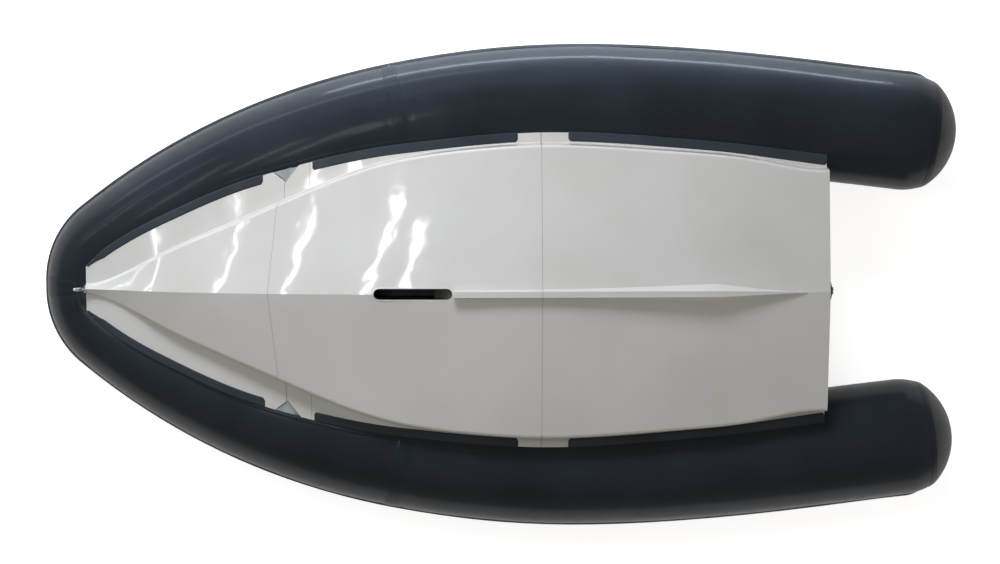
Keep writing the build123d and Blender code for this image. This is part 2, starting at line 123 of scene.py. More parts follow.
def moulded_gelcoat():
    """Polyester gelcoat, sprayed in a polished mould over laid glass mat. The eye sees a clean
    gloss white whose reflections waver over the mat's print, with a little dulling and dust."""
    material, tree, place = new_material("moulded_gelcoat")
    cloud = add(tree, "TexNoise", {"Vector": place, "Scale": to_scale(420), "Detail": 3})
    yellowed = add(tree, "MapRange", {"Value": cloud, "From Min": 0.35, "From Max": 0.65})
    white = add(tree, "MixRGB", {"Fac": yellowed, "Color1": paint("d6d5d2"),
                                 "Color2": paint("cfcdc8")})
    speck = add(tree, "TexNoise", {"Vector": place, "Scale": to_scale(9), "Detail": 4,
                                   "Roughness": 0.7})
    dust = add(tree, "MapRange", {"Value": speck, "From Min": 0.62, "From Max": 0.8, "To Max": 0.28})
    dusty = add(tree, "MixRGB", {"Fac": dust, "Color1": white, "Color2": paint("b4b1aa")})
    wiped = add(tree, "TexNoise", {"Vector": place, "Scale": to_scale(130), "Detail": 4})
    dulled = add(tree, "MapRange", {"Value": wiped, "From Min": 0.3, "From Max": 0.75,
                                    "To Min": 0.3, "To Max": 0.42})
    mat = add(tree, "TexNoise", {"Vector": place, "Scale": to_scale(74), "Detail": 1.4,
                                 "Roughness": 0.4})
    print_through = add(tree, "Bump", {"Height": mat, "Distance": 1.0 * MM})
    spray = add(tree, "TexNoise", {"Vector": place, "Scale": to_scale(6), "Detail": 1})
    peel = add(tree, "Bump", {"Height": spray, "Distance": 0.012 * MM, "Normal": print_through})
    shader = add(tree, "BsdfPrincipled", {"Base Color": dusty, "Roughness": dulled, "Normal": peel,
                                          "IOR": 1.52, "Coat Weight": 1.0, "Coat Roughness": 0.07,
                                          "Coat Normal": peel})
    add(tree, "OutputMaterial", {"Surface": shader})
    return material


def moulded_deck():
    """Gelcoat, moulded with non-slip pimples 9 mm apart. The eye sees a regular grain, satin on
    the pimples' tops and clean between them, greyed where it is walked on."""
    material, tree, place = new_material("moulded_deck")
    grip = add(tree, "TexVoronoi", {"Vector": place, "Scale": to_scale(9), "Randomness": 0.0})
    pimple = add(tree, "MapRange", {"Value": grip, "From Min": 0.15, "From Max": 0.4,
                                    "To Min": 1, "To Max": 0})
    trodden = add(tree, "TexNoise", {"Vector": place, "Scale": to_scale(160), "Detail": 4})
    wear = add(tree, "MapRange", {"Value": trodden, "From Min": 0.35, "From Max": 0.7})
    tone = add(tree, "MixRGB", {"Fac": wear, "Color1": paint("cdccc8"), "Color2": paint("bdbbb5")})
    satin = add(tree, "MapRange", {"Value": pimple, "To Min": 0.32, "To Max": 0.5})
    relief = add(tree, "Bump", {"Height": pimple, "Distance": 0.5 * MM})
    shader = add(tree, "BsdfPrincipled", {"Base Color": tone, "Roughness": satin, "Normal": relief,
                                          "IOR": 1.5})
    add(tree, "OutputMaterial", {"Surface": shader})
    return material


def coated_fabric(name, light, dark, rough, shine=0.09, gloss=0.22):
    """Synthetic rubber coated on woven polyester, cut flat and glued. The eye sees a soft satin
    skin, the cloth's grain just under it and broad cloudy changes of sheen where hands rubbed.
    The real threads are 0.5 mm apart; they are drawn 6 mm apart, or they would not show."""
    material, tree, place = new_material(name)
    cloud = add(tree, "TexNoise", {"Vector": place, "Scale": to_scale(300), "Detail": 3})
    faded = add(tree, "MapRange", {"Value": cloud, "From Min": 0.35, "From Max": 0.65})
    dyed = add(tree, "MixRGB", {"Fac": faded, "Color1": paint(light), "Color2": paint(dark)})
    scuff = add(tree, "TexNoise", {"Vector": place, "Scale": to_scale(38), "Detail": 5,
                                   "Roughness": 0.65})
    chalk = add(tree, "MapRange", {"Value": scuff, "From Min": 0.64, "From Max": 0.8, "To Max": 0.16})
    tone = add(tree, "MixRGB", {"Fac": chalk, "Color1": dyed, "Color2": paint("4a5157")})
    # At a scale of 1 the wave node's bands are pi / 10 metres apart.
    threads = to_scale(5.92) * pi / 10
    warp = add(tree, "TexWave", {"Vector": place, "Scale": threads}, bands_direction="X")
    weft = add(tree, "TexWave", {"Vector": place, "Scale": threads}, bands_direction="Y")
    cloth = add(tree, "Math", {0: warp.outputs["Fac"], 1: weft.outputs["Fac"]}, operation="MULTIPLY")
    woven = add(tree, "Bump", {"Height": cloth, "Distance": 0.01 * MM})
    coating = add(tree, "TexNoise", {"Vector": place, "Scale": to_scale(2.2), "Detail": 3,
                                     "Roughness": 0.6})
    coated = add(tree, "Bump", {"Height": coating, "Distance": 0.025 * MM, "Normal": woven})
    slack = add(tree, "TexNoise", {"Vector": place, "Scale": to_scale(55)})
    blown = add(tree, "Bump", {"Height": slack, "Distance": 0.22 * MM, "Normal": coated})
    sheen = add(tree, "MapRange", {"Value": scuff, "From Min": 0.3, "From Max": 0.75,
                                   "To Min": rough - 0.04, "To Max": rough + 0.08})
    shader = add(tree, "BsdfPrincipled", {"Base Color": tone, "Roughness": sheen, "Normal": blown,
                                          "IOR": 1.5, "Specular IOR Level": shine,
                                          "Coat Weight": gloss, "Coat Roughness": 0.17})
    add(tree, "OutputMaterial", {"Surface": shader})
    return material


def moulded_rubber(name, light, dark, rough):
    """EPDM rubber, pressed in a steel mould: matt, faintly mottled, with dusty bloom."""
    material, tree, place = new_material(name)
    bloom = add(tree, "TexNoise", {"Vector": place, "Scale": to_scale(70), "Detail": 5,
                                   "Roughness": 0.65})
    dusted = add(tree, "MapRange", {"Value": bloom, "From Min": 0.35, "From Max": 0.75})
    tone = add(tree, "MixRGB", {"Fac": dusted, "Color1": paint(dark), "Color2": paint(light)})
    skin = add(tree, "TexNoise", {"Vector": place, "Scale": to_scale(1.8)})
    pressed = add(tree, "Bump", {"Height": skin, "Distance": 0.05 * MM})
    matt = add(tree, "MapRange", {"Value": bloom, "From Min": 0.3, "From Max": 0.8,
                                  "To Min": rough, "To Max": rough + 0.12})
    shader = add(tree, "BsdfPrincipled", {"Base Color": tone, "Roughness": matt, "Normal": pressed,
                                          "IOR": 1.5})
    add(tree, "OutputMaterial", {"Surface": shader})
    return material


def moulded_nylon():
    """Glass-filled nylon, injection moulded with a spark-eroded grain: satin black."""
    material, tree, place = new_material("moulded_nylon")
    flow = add(tree, "TexNoise", {"Vector": place, "Scale": to_scale(30), "Detail": 4})
    tone = add(tree, "MixRGB", {"Fac": flow, "Color1": paint("17181a"), "Color2": paint("222427")})
    grain = add(tree, "TexNoise", {"Vector": place, "Scale": to_scale(1.4)})
    eroded = add(tree, "Bump", {"Height": grain, "Distance": 0.06 * MM})
    satin = add(tree, "MapRange", {"Value": grain, "From Min": 0.3, "From Max": 0.7,
                                   "To Min": 0.34, "To Max": 0.48})
    shader = add(tree, "BsdfPrincipled", {"Base Color": tone, "Roughness": satin, "Normal": eroded,
                                          "IOR": 1.53})
    add(tree, "OutputMaterial", {"Surface": shader})
    return material


def polished_steel():
    """Stainless steel, cast and barrel polished: bright, with faint swirls and tea staining."""
    material, tree, place = new_material("polished_steel")
    spots = add(tree, "TexNoise", {"Vector": place, "Scale": to_scale(12), "Detail": 3})
    stain = add(tree, "MapRange", {"Value": spots, "From Min": 0.6, "From Max": 0.8, "To Max": 0.4})
    tone = add(tree, "MixRGB", {"Fac": stain, "Color1": paint("c4c5c6"), "Color2": paint("a0917c")})
    swirl = add(tree, "TexNoise", {"Vector": place, "Scale": to_scale(4), "Detail": 4,
                                   "Roughness": 0.6})
    bright = add(tree, "MapRange", {"Value": swirl, "From Min": 0.3, "From Max": 0.7,
                                    "To Min": 0.14, "To Max": 0.3})
    shader = add(tree, "BsdfPrincipled", {"Base Color": tone, "Metallic": 1.0, "Roughness": bright})
    add(tree, "OutputMaterial", {"Surface": shader})
    return material


def painted_joint_shade():
    """Painted shade: a thin grey line, dull and a little dirty, standing for the shade that falls
    in a moulded joint or a gap between hull sections."""
    material, tree, place = new_material("painted_joint_shade")
    dirt = add(tree, "TexNoise", {"Vector": place, "Scale": to_scale(15), "Detail": 4})
    tone = add(tree, "MixRGB", {"Fac": dirt, "Color1": paint("8f8c86"), "Color2": paint("a3a09a")})
    shader = add(tree, "BsdfPrincipled", {"Base Color": tone, "Roughness": 0.7})
    add(tree, "OutputMaterial", {"Surface": shader})
    return material


def painted_board():
    """Marine plywood, rolled with two-part paint: eggshell white with roller stipple."""
    material, tree, place = new_material("painted_board")
    coats = add(tree, "TexNoise", {"Vector": place, "Scale": to_scale(220), "Detail": 3})
    tone = add(tree, "MixRGB", {"Fac": coats, "Color1": paint("d3d2cd"), "Color2": paint("c6c4bd")})
    stipple = add(tree, "TexNoise", {"Vector": place, "Scale": to_scale(3.2), "Detail": 3})
    rolled = add(tree, "Bump", {"Height": stipple, "Distance": 0.09 * MM})
    eggshell = add(tree, "MapRange", {"Value": stipple, "From Min": 0.3, "From Max": 0.7,
                                      "To Min": 0.3, "To Max": 0.42})
    shader = add(tree, "BsdfPrincipled", {"Base Color": tone, "Roughness": eggshell,
                                          "Normal": rolled, "IOR": 1.5})
    add(tree, "OutputMaterial", {"Surface": shader})
    return material


gelcoat = moulded_gelcoat()
deck_gelcoat = moulded_deck()
tube_fabric = coated_fabric("coated_tube_fabric", "292f36", "23282e", 0.55)
tape_fabric = coated_fabric("coated_seam_tape", "282e35", "22272d", 0.57, gloss=0.16)
flap_fabric = coated_fabric("coated_flap_fabric", "363d45", "2c3239", 0.55, shine=0.25, gloss=0.1)
gusset_fabric = coated_fabric("coated_gusset_fabric", "a3a9aa", "969d9e", 0.6, gloss=0.05)
strake_rubber = moulded_rubber("moulded_strake_rubber", "26282b", "17181a", 0.62)
cap_rubber = moulded_rubber("moulded_cap_rubber", "1f2327", "181b1f", 0.55)
# The slot ramp's dark brown-grey is painted shade: the ramp is gelcoat in shade, given a dark rubber
# finish.
painted_shade_ramp = moulded_rubber("painted_shade_slot_ramp", "5d5753", "48433f", 0.5)
nylon = moulded_nylon()
steel = polished_steel()
seat_paint = painted_board()
# The joint lines' grey is painted shade, for the shade in the flange joint and the fold gaps.
painted_gap_shade = painted_joint_shade()

# CAD nodes that keep their shape, and what each is made of. The others are nylon mouldings.
finishes = {
    "hull_bow_section": gelcoat, "hull_middle_section": gelcoat, "hull_aft_section": gelcoat,
    "transom": gelcoat,
    "deck_bow_panel": deck_gelcoat, "deck_middle_panel": deck_gelcoat, "deck_aft_panel": deck_gelcoat,
    "deck_hinge_bow": strake_rubber, "deck_hinge_main": strake_rubber, "rub_strake": strake_rubber,
    "thwart_rest_port": cap_rubber, "thwart_rest_starboard": cap_rubber,
    "stern_cap_port": cap_rubber, "stern_cap_starboard": cap_rubber,
    "thwart": seat_paint, "bow_eye": steel,
}
for name, node in nodes.items():
    node.data.materials.clear()
    node.data.materials.append(finishes.get(name, nylon))


# ---- The boat's lines, as the solids have them ----
NOSE_RADIUS, TUBE_RADIUS, TAPER_RUN = 156.0, 210.0, 1150.0
STRAKE_DEPTH = 8.0
BENDS = ((178.0, 56.3), (2970.0, 23.6), (3290.0, 12.0), (7350.0, 4.9))
STERN_STRAIGHT = 416.0
BOW_FOLD_KEEL, BOW_FOLD_FLANGE, MAIN_FOLD = 833.0, 896.0, 1790.0
BAFFLE_RUN = 1323.0
SHEER_RISE, SHEER_START = 140.0, 1300.0
CONE_LENGTH, CAP_RADIUS = 104.0, 184.0
HULL_FRONT, HULL_END = 170.0, 2798.0
nose_x = STRAKE_DEPTH + NOSE_RADIUS
tube_run = sum(radius * radians(turned) for radius, turned in BENDS) + STERN_STRAIGHT


def faired(x, *points):
    """Height of a smooth batten laid through the points (x, value)."""
    last = len(points) - 1
    span = 0
    while span < last - 1 and x > points[span + 1][0]:
        span += 1

    def chord(i):
        return (points[i + 1][1] - points[i][1]) / (points[i + 1][0] - points[i][0])

    def slope(i):
        if i == 0:
            return chord(0)
        if i == last:
            return chord(last - 1)
        before, after = chord(i - 1), chord(i)
        return 0.0 if before * after <= 0 else 2 * before * after / (before + after)

    (x0, v0), (x1, v1) = points[span], points[span + 1]
    run = x1 - x0
    t = (x - x0) / run
    return (v0 * (1 + 2 * t) * (1 - t) ** 2 + slope(span) * run * t * (1 - t) ** 2
            + v1 * t * t * (3 - 2 * t) + slope(span + 1) * run * t * t * (t - 1))


def plan_point(run):
    """Plan position and heading of the port tube's centreline at a distance from the nose."""
    x, y, heading, left = nose_x, 0.0, 90.0, run
    for radius, turned in BENDS:
        step = min(left, radius * radians(turned))
        new = heading - degrees(step / radius)
        x += radius * (sin(radians(heading)) - sin(radians(new)))
        y += radius * (cos(radians(new)) - cos(radians(heading)))
        heading = new
        left -= step
        if left <= 0:
            return x, y, heading
    return x + left * cos(radians(heading)), y + left * sin(radians(heading)), heading


def sheer(x):
    """How far the tube's centreline drops toward the bow, keel up, and how steeply."""
    if x >= SHEER_START:
        return 0.0, 0.0
    t = (SHEER_START - x) / (SHEER_START - nose_x)
    return -SHEER_RISE * t * t, 2 * SHEER_RISE * t / (SHEER_START - nose_x)


def tube_size(run):
    """The tube's radius at a distance from the nose."""
    t = min(run / TAPER_RUN, 1.0)
    return NOSE_RADIUS + (TUBE_RADIUS - NOSE_RADIUS) * t * (2 - t)


def skin_point(run, angle, lift=0.0, radius=None):
    """A point of the tube's skin. Runs are negative on the starboard side, and the angle goes
    from outboard toward the keel's side."""
    side = -1 if run < 0 else 1
    x, y, heading = plan_point(abs(run))
    z, climb = sheer(x)
    c, s = cos(radians(heading)), sin(radians(heading))
    out = Vector((-s, c, 0))
    along = Vector((c, s, climb * c)).normalized()
    up = along.cross(out)
    if up.z < 0:
        up = -up
    size = (tube_size(abs(run)) if radius is None else radius) + lift
    spot = Vector((x, y, z)) + size * (cos(angle) * out + sin(angle) * up)
    return placed(spot.x, side * spot.y, spot.z)


def tube_crest(x, y):
    """Height of the tube's keelward side over the plan point (x, y), found by walking along the
    centreline to the place beside it, half of what is left at each step."""
    run = 800.0
    for _ in range(80):
        px, py, heading = plan_point(run)
        left = (x - px) * cos(radians(heading)) + (y - py) * sin(radians(heading))
        run = max(run + 0.5 * left, 0.0)
    px, py, heading = plan_point(run)
    z, climb = sheer(px)
    size = tube_size(run)
    rise = sqrt(max(size * size - (x - px) ** 2 - (y - py) ** 2, 0.0))
    return z + rise * sqrt(1 + (climb * cos(radians(heading))) ** 2)


def flange_edge(x):
    """Half the hull's width at the flange's outer edge."""
    return faired(x, (HULL_FRONT, 78), (237, 141), (448, 261), (801, 405), (1294, 514),
                  (1830, 557), (2351, 526), (HULL_END, 474))


def chine_half(x):
    """Half the hull's width at the chine."""
    return faired(x, (HULL_FRONT, 9), (213, 16), (458, 129), (853, 300), (1297, 463),
                  (1789, 514), (2300, 487), (HULL_END, 425))


def chine_height(x):
    """Height of the bottom at the chine."""
    return faired(x, (HULL_FRONT, 57), (213, 66), (458, 150), (853, 232), (1297, 260),
                  (1789, 264), (HULL_END, 250))


def keel_height(x):
    """Height of the bottom at the keel."""
    return faired(x, (HULL_FRONT, 64), (213, 76), (458, 186), (853, 290), (1297, 336),
                  (1789, 345), (2300, 326), (HULL_END, 302))


def skin_tree(*names):
    """The outer faces of some CAD nodes, to lay pieces on."""
    points, faces = [], []
    for name in names:
        mesh = nodes[name].data
        start = len(points)
        points += [v.co.copy() for v in mesh.vertices]
        faces += [tuple(start + k for k in face.vertices) for face in mesh.polygons]
    return BVHTree.FromPolygons(points, faces)


hull_skin = skin_tree("hull_bow_section", "hull_middle_section", "hull_aft_section")
keelward = (placed(0, 0, 1) - placed(0, 0, 0)).normalized()
deckward = -keelward
aft = (placed(1, 0, 0) - placed(0, 0, 0)).normalized()
port = Vector((0, 1, 0))
SIDES = ((1, "port"), (-1, "starboard"))
CLEAR_OF_BOAT, MOST_INBOARD = 700.0, 15


def laid(skin, x, y, lift, up=keelward):
    """The first place on a skin over the drawing's (x, y), coming from the side up points to,
    lifted off the skin; beside the skin's edge, the height of the nearest place inboard."""
    for step in range(MOST_INBOARD + 1):
        inboard = y - step if y > 0 else y + step
        hit, _, _, _ = skin.ray_cast(placed(x, inboard, 0) + up * CLEAR_OF_BOAT * MM, -up)
        if hit is not None:
            break
    else:
        return None
    return hit + up * lift * MM + placed(0, y, 0) - placed(0, inboard, 0)


# ---- Mesh helpers ----
def make_piece(name, points, faces, material):
    """A new smooth piece from its points and faces, riding on the boat."""
    mesh = bpy.data.meshes.new(name)
    mesh.from_pydata([tuple(p) for p in points], [], faces)
    mesh.validate()
    mesh.materials.append(material)
    piece = bpy.data.objects.new(name, mesh)
    bpy.context.collection.objects.link(piece)
    for face in mesh.polygons:
        face.use_smooth = True
    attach(piece, "root")
    return piece


def grid_faces(rows, columns, closed=False):
    """Quads over a grid of points, row after row; closed, each row is a ring."""
    faces = []
    for i in range(rows - 1):
        a, b = i * columns, (i + 1) * columns
        for j in range(columns if closed else columns - 1):
            k = (j + 1) % columns
            faces.append((a + j, a + k, b + k, b + j))
    return faces


def outward(piece):
    """Turns the piece's faces to the outside."""
    work = bmesh.new()
    work.from_mesh(piece.data)
    bmesh.ops.recalc_face_normals(work, faces=work.faces)
    work.to_mesh(piece.data)
    work.free()
    return piece


def spaced(start, end, count):
    """Even steps from start to end, both of them in the list."""
    return [start + (end - start) * i / (count - 1) for i in range(count)]


def bell(x, width):
    """A smooth hump of height 1 about zero."""
    return exp(-(x / width) ** 2)


# ---- Tubes: inflated skins with creases at the inner walls and a little slackness ----
AROUND = 96
SEAM_GAP = 0.2
# Waves by height, length, turns round the tube and phase; pinches by place, depth and width.
WAVES = ((0.5, 61.0, 2, 0.0), (0.4, 97.0, -3, 1.0))
PINCHES = ((0, 1.5, 7), (-36, 1.1, 6), (36, 1.1, 6))
CREASE_HEIGHT, CREASE_LENGTH, CREASE_MIDDLE, CREASE_REACH = 1.8, 9.0, 120, 190
# The skin lies this far inside a true tube, so that no wave comes out past it.
SLACK = 0.6


def tube_lift(run, angle):
    """How far the real skin departs from a true tube, in mm: two slow waves, pinches where an
    inner wall is glued in, and fine creases on the inside of the bow's bend."""
    reach = abs(run)
    wave = sum(height * sin(run / length + turns * angle + phase)
               for height, length, turns, phase in WAVES)
    pinch = -sum(depth * bell(reach - BAFFLE_RUN - beside, width)
                 for beside, depth, width in PINCHES)
    inner = max(0.0, -cos(angle)) ** 2 * bell(reach - CREASE_MIDDLE, CREASE_REACH)
    crease = CREASE_HEIGHT * sin(run / CREASE_LENGTH + 0.8 * sin(angle * 3))
    return wave * SLACK - SLACK + pinch + inner * crease


def rings(runs):
    """Rings of points round the tube, one for each run."""
    points = []
    for run in runs:
        for j in range(AROUND):
            angle = 2 * pi * j / AROUND
            points.append(skin_point(run, angle, tube_lift(run, angle)))
    return points


def make_tube(name, points):
    """A tube over its rings of points, with its two ends closed."""
    faces = grid_faces(len(points) // AROUND, AROUND, closed=True)
    faces.append(tuple(range(AROUND)))
    faces.append(tuple(range(len(points) - AROUND, len(points))))
    return outward(make_piece(name, points, faces, tube_fabric))


def make_bow_tube():
    """The bow chamber's skin, round the nose from one inner wall to the other."""
    half = spaced(0, BAFFLE_RUN - SEAM_GAP, 130)
    return make_tube("bow_tube_skin", rings([-r for r in half[:0:-1]] + half))


def cone_radius(reach):
    """Radius of the rounded-in end of the tube, past its last full circle."""
    drop = TUBE_RADIUS - CAP_RADIUS
    bulge = (CONE_LENGTH**2 + drop**2) / (2 * drop)
    return TUBE_RADIUS - bulge + sqrt(bulge**2 - reach**2)


def make_side_tube(side, name):
    """A side chamber's skin, from the inner wall to the cone's end under the stern cap."""
    points = rings([side * r for r in spaced(BAFFLE_RUN + SEAM_GAP, tube_run, 150)])
    for reach in spaced(0, CONE_LENGTH, 18)[1:]:
        for j in range(AROUND):
            angle = 2 * pi * j / AROUND
            run = side * (tube_run + reach)
            lift = tube_lift(run, angle) * (1 - reach / CONE_LENGTH)
            points.append(skin_point(run, angle, lift, cone_radius(reach)))
    return make_tube(name, points)


bow_tube = make_bow_tube()
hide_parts("tube_bow_chamber")
for side, word in SIDES:
    tube = make_side_tube(side, word + "_tube_skin")
    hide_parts("tube_" + word + "_chamber")


def tape_ring(name, middle, half, first, last, thickness=0.9, size=None):
    """A glued tape round the tube from a first to a last angle, its edges rubbed thin. Where a
    size is given, it lies on a true tube of that radius, and otherwise on the slack skin."""
    profile = ((-half, 0.05), (-half + 2, thickness), (-half / 2, thickness), (0, thickness + 0.15),
               (half / 2, thickness), (half - 2, thickness), (half, 0.05))
    count = 90
    points = []
    for along, lift in profile:
        for j in range(count):
            angle = radians(first + (last - first) * j / (count - 1))
            run = middle + along
            if size is None:
                points.append(skin_point(run, angle, lift + max(tube_lift(run, angle), -SLACK)))
            else:
                points.append(skin_point(run, angle, lift, size(abs(run))))
    return make_piece(name, points, grid_faces(len(profile), count), tape_fabric)


# The strake covers the outboard line, so the tapes start and stop beside it.
for side, word in SIDES:
    tape_ring("baffle_tape_" + word, side * BAFFLE_RUN, 24.0, 9, 351)
    tape_ring("end_tape_" + word, side * (tube_run + CONE_LENGTH - 12), 11.0, 0, 360, 0.8,
              size=lambda run: cone_radius(min(run - tube_run, CONE_LENGTH)))
tape_ring("nose_tape", 0.0, 22.0, 10, 350, 1.0)


def make_strake_tail(side, name):
    """The strake's moulded end, drawn down to the tube."""
    half, depth, length = 22.6, 7.8, 64.0
    rows, columns = 14, 15
    points = []
    for i in range(rows):
        t = i / (rows - 1)
        left = 1 - t * t
        run = tube_run + length * t
        radius = TUBE_RADIUS if run < tube_run else cone_radius(run - tube_run)
        for j in range(columns):
            v = 2 * j / (columns - 1) - 1
            angle = asin(v * half * (0.35 + 0.65 * left) / radius)
            rise = depth * left * (1 - abs(v) ** 2.6) + 0.2
            points.append(skin_point(side * run, angle, rise, radius))
    faces = grid_faces(rows, columns) + [tuple(range(columns))]
    return outward(make_piece(name, points, faces, strake_rubber))


for side, word in SIDES:
    make_strake_tail(side, "strake_tail_" + word)


# ---- Doubler: a fabric strip glued to the tube along the hull's edge ----
DOUBLER_REACH, DOUBLER_LIFT, PATCH_LIFT, THIN_EDGE = 17.0, 0.75, 1.0, 0.1


def tube_top(x, y, lift):
    """A place over the plan point (x, y), lifted off the tube's keelward side."""
    return placed(x, y, tube_crest(x, abs(y)) + lift)


def make_doubler(side, name):
    """The strip's part that shows beside the flange, and its lap under it."""
    stations = spaced(HULL_FRONT - 6, HULL_END + 18, 90)
    across = (-30, -14, 0, 8, DOUBLER_REACH - 1.5, DOUBLER_REACH)
    points = []
    for x in stations:
        edge = flange_edge(min(max(x, HULL_FRONT), HULL_END))
        for step in across:
            lift = THIN_EDGE if step == DOUBLER_REACH else DOUBLER_LIFT
            points.append(tube_top(x, side * (edge + step), lift))
    faces = grid_faces(len(stations), len(across))
    return make_piece(name, points, faces, tape_fabric)


for side, word in SIDES:
    make_doubler(side, "doubler_" + word)


def make_bow_patch():
    """The patch glued round the bow in front of the hull, its corners rounded."""
    rows, columns = 14, 48
    corner, lead, lap, front_half, widening = 26.0, 42, 8, 96.0, 40
    points = []
    for i in range(rows):
        t = i / (rows - 1)
        half = front_half + widening * t
        for j in range(columns):
            y = (2 * j / (columns - 1) - 1) * half
            front = HULL_FRONT - lead
            from_side = half - abs(y)
            if from_side < corner:
                front += corner - sqrt(max(corner**2 - (corner - from_side) ** 2, 0.0))
            x = front + (HULL_FRONT + lap - front) * t
            lift = THIN_EDGE if i == 0 or j in (0, columns - 1) else PATCH_LIFT
            points.append(tube_top(x, y, lift))
    return make_piece("bow_patch", points, grid_faces(rows, columns), tape_fabric)


make_bow_patch()


# ---- Joint lines moulded across the flange, aft of the bow fold: grey lines of painted shade ----
JOINT_X, JOINT_HALF, JOINT_ROWS, CHINE_MARGIN = 980, 0.9, 12, 12


def make_flange_joint(side, name):
    """A grey line of painted shade, for the moulded joint's groove, from beside the chine to the
    flange's edge.
    """
    start, end = chine_half(JOINT_X) + CHINE_MARGIN, flange_edge(JOINT_X) - 1
    points = []
    for across in spaced(start, end, JOINT_ROWS):
        for step in (-JOINT_HALF, JOINT_HALF):
            points.append(laid(hull_skin, JOINT_X + step, side * across, 0.15))
    return make_piece(name, points, grid_faces(JOINT_ROWS, 2), painted_gap_shade)


for side, word in SIDES:
    make_flange_joint(side, "flange_joint_" + word)


# ---- Flaps: fabric strips glued over the flange's outer part ----
FLAPS = {"bow": (171.0, 815.0), "middle": (989.0, 1709.0), "aft": (1886.0, 2798.8)}
FLAP_WIDTH, FLAP_LAP, FLAP_SEAT, FLAP_THICKNESS, FLAP_CORNER = 31.0, 7.0, 0.3, 2.4, 9.0
STERN_WIDENING, WIDENING_START, WIDENING_RUN = 5, 2450, 350
RIM_ROUND, FALL_RUN = 2.0, 3.0
RIPPLE_HEIGHT, RIPPLE_LENGTH, STILL_RIM = 0.12, 23.0, 6.0
# Rays stay this far inside the hull's edge and end, where they still meet its skin.
EDGE_MARGIN, END_MARGIN = 0.4, 1.5


def flap_width(x):
    """The flaps' width: cut narrow at the bow, and a little wider toward the stern."""
    cut = min(max((x - HULL_FRONT + 8) / 75, 0.25), 1.0)
    return FLAP_WIDTH * cut + STERN_WIDENING * max((x - WIDENING_START) / WIDENING_RUN, 0.0)


def make_flap(side, name, start, end):
    """A strip laid on the flange and turned down over its edge to the tube, with rounded
    inner corners and a soft inner rim."""
    rows, columns = 90, 16
    length = end - start
    points = []
    for i in range(rows):
        t = i / (rows - 1)
        # The rows stand closer toward the rounded ends.
        along = t * 0.8 + (0.5 - 0.5 * cos(pi * t)) * 0.2
        from_end = min(along, 1 - along) * length
        draw = 0.0
        if from_end < FLAP_CORNER:
            draw = FLAP_CORNER - sqrt(max(FLAP_CORNER**2 - (FLAP_CORNER - from_end) ** 2, 0.0))
        x = start + along * length
        edge = flange_edge(x)
        outer = edge + FLAP_LAP
        inner = edge - flap_width(x) + draw
        on_hull = min(x, HULL_END - END_MARGIN)
        for j in range(columns):
            v = j / (columns - 1)
            y = outer + (inner - outer) * (0.6 * v + 0.4 * v * v)
            rim = max(min(y - inner, from_end), 0.0)
            height = FLAP_THICKNESS * sqrt(1 - (1 - min(rim / RIM_ROUND, 1.0)) ** 2)
            ripple = RIPPLE_HEIGHT * sin(x / RIPPLE_LENGTH + 2 * v) * min(rim / STILL_RIM, 1.0)
            seated = min(y, edge - EDGE_MARGIN)
            spot = laid(hull_skin, on_hull, side * seated, FLAP_SEAT + height + ripple)
            spot += placed(x, 0, 0) - placed(on_hull, 0, 0)
            if y > edge:
                low = tube_top(x, side * y, (outer - y) / FLAP_LAP)
                fall = min((y - edge) / FALL_RUN, 1.0)
                spot += placed(0, side * y, 0) - placed(0, side * seated, 0)
                spot.z += (low.z - spot.z) * fall * fall * (3 - 2 * fall)
            points.append(spot)
    return make_piece(name, points, grid_faces(rows, columns), flap_fabric)


for place, (start, end) in FLAPS.items():
    for side, word in SIDES:
        flap = make_flap(side, "flap_skin_" + place + "_" + word, start, end)
        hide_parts("flap_" + place + "_" + word)


# ---- Gussets: slack fabric folded into the notch at the bow fold ----
NOTCH_X, NOTCH_WIDTH, NOTCH_DEPTH = BOW_FOLD_FLANGE, 92.0, 46.0
GUSSET_RISE, PLEAT, FURROW = 3.0, 3.2, 1.6


def make_gusset(side, name):
    """A triangle of cloth with a pleat from its tip, pinched into the notch."""
    edge = flange_edge(NOTCH_X)
    slope = (flange_edge(NOTCH_X + 50) - flange_edge(NOTCH_X - 50)) / 100
    rows, columns = 13, 17
    points = []
    for i in range(rows):
        t = i / (rows - 1)
        for j in range(columns):
            s = 2 * j / (columns - 1) - 1
            x = NOTCH_X + s * (NOTCH_WIDTH / 2 - 1) * t
            y = edge - NOTCH_DEPTH + 2 + t * (NOTCH_DEPTH - 3) + slope * (x - NOTCH_X) * t
            level = tube_crest(x, edge) + GUSSET_RISE + 0.05 * (edge - y)
            pleat = PLEAT * t * bell(s, 0.28) - FURROW * t * bell(abs(s) - 0.55, 0.22)
            points.append(placed(x, side * y, level + pleat))
    return make_piece(name, points, grid_faces(rows, columns), gusset_fabric)


for side, word in SIDES:
    gusset = make_gusset(side, "gusset_cloth_" + word)
    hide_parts("fold_gusset_" + word)


# ---- Keel slot: a raised rim, and a short ramp at its aft end ----
SLOT_START, SLOT_END, SLOT_WIDTH, SLOT_POINTS = 1204.0, 1476.0, 37.0, 96
RAMP_RUN, RAMP_SINK = 60, 7


def bottom_height(x, y):
    """Height of the hull's bottom at (x, y)."""
    fall = (keel_height(x) - chine_height(x)) / chine_half(x)
    return keel_height(x) - abs(y) * fall


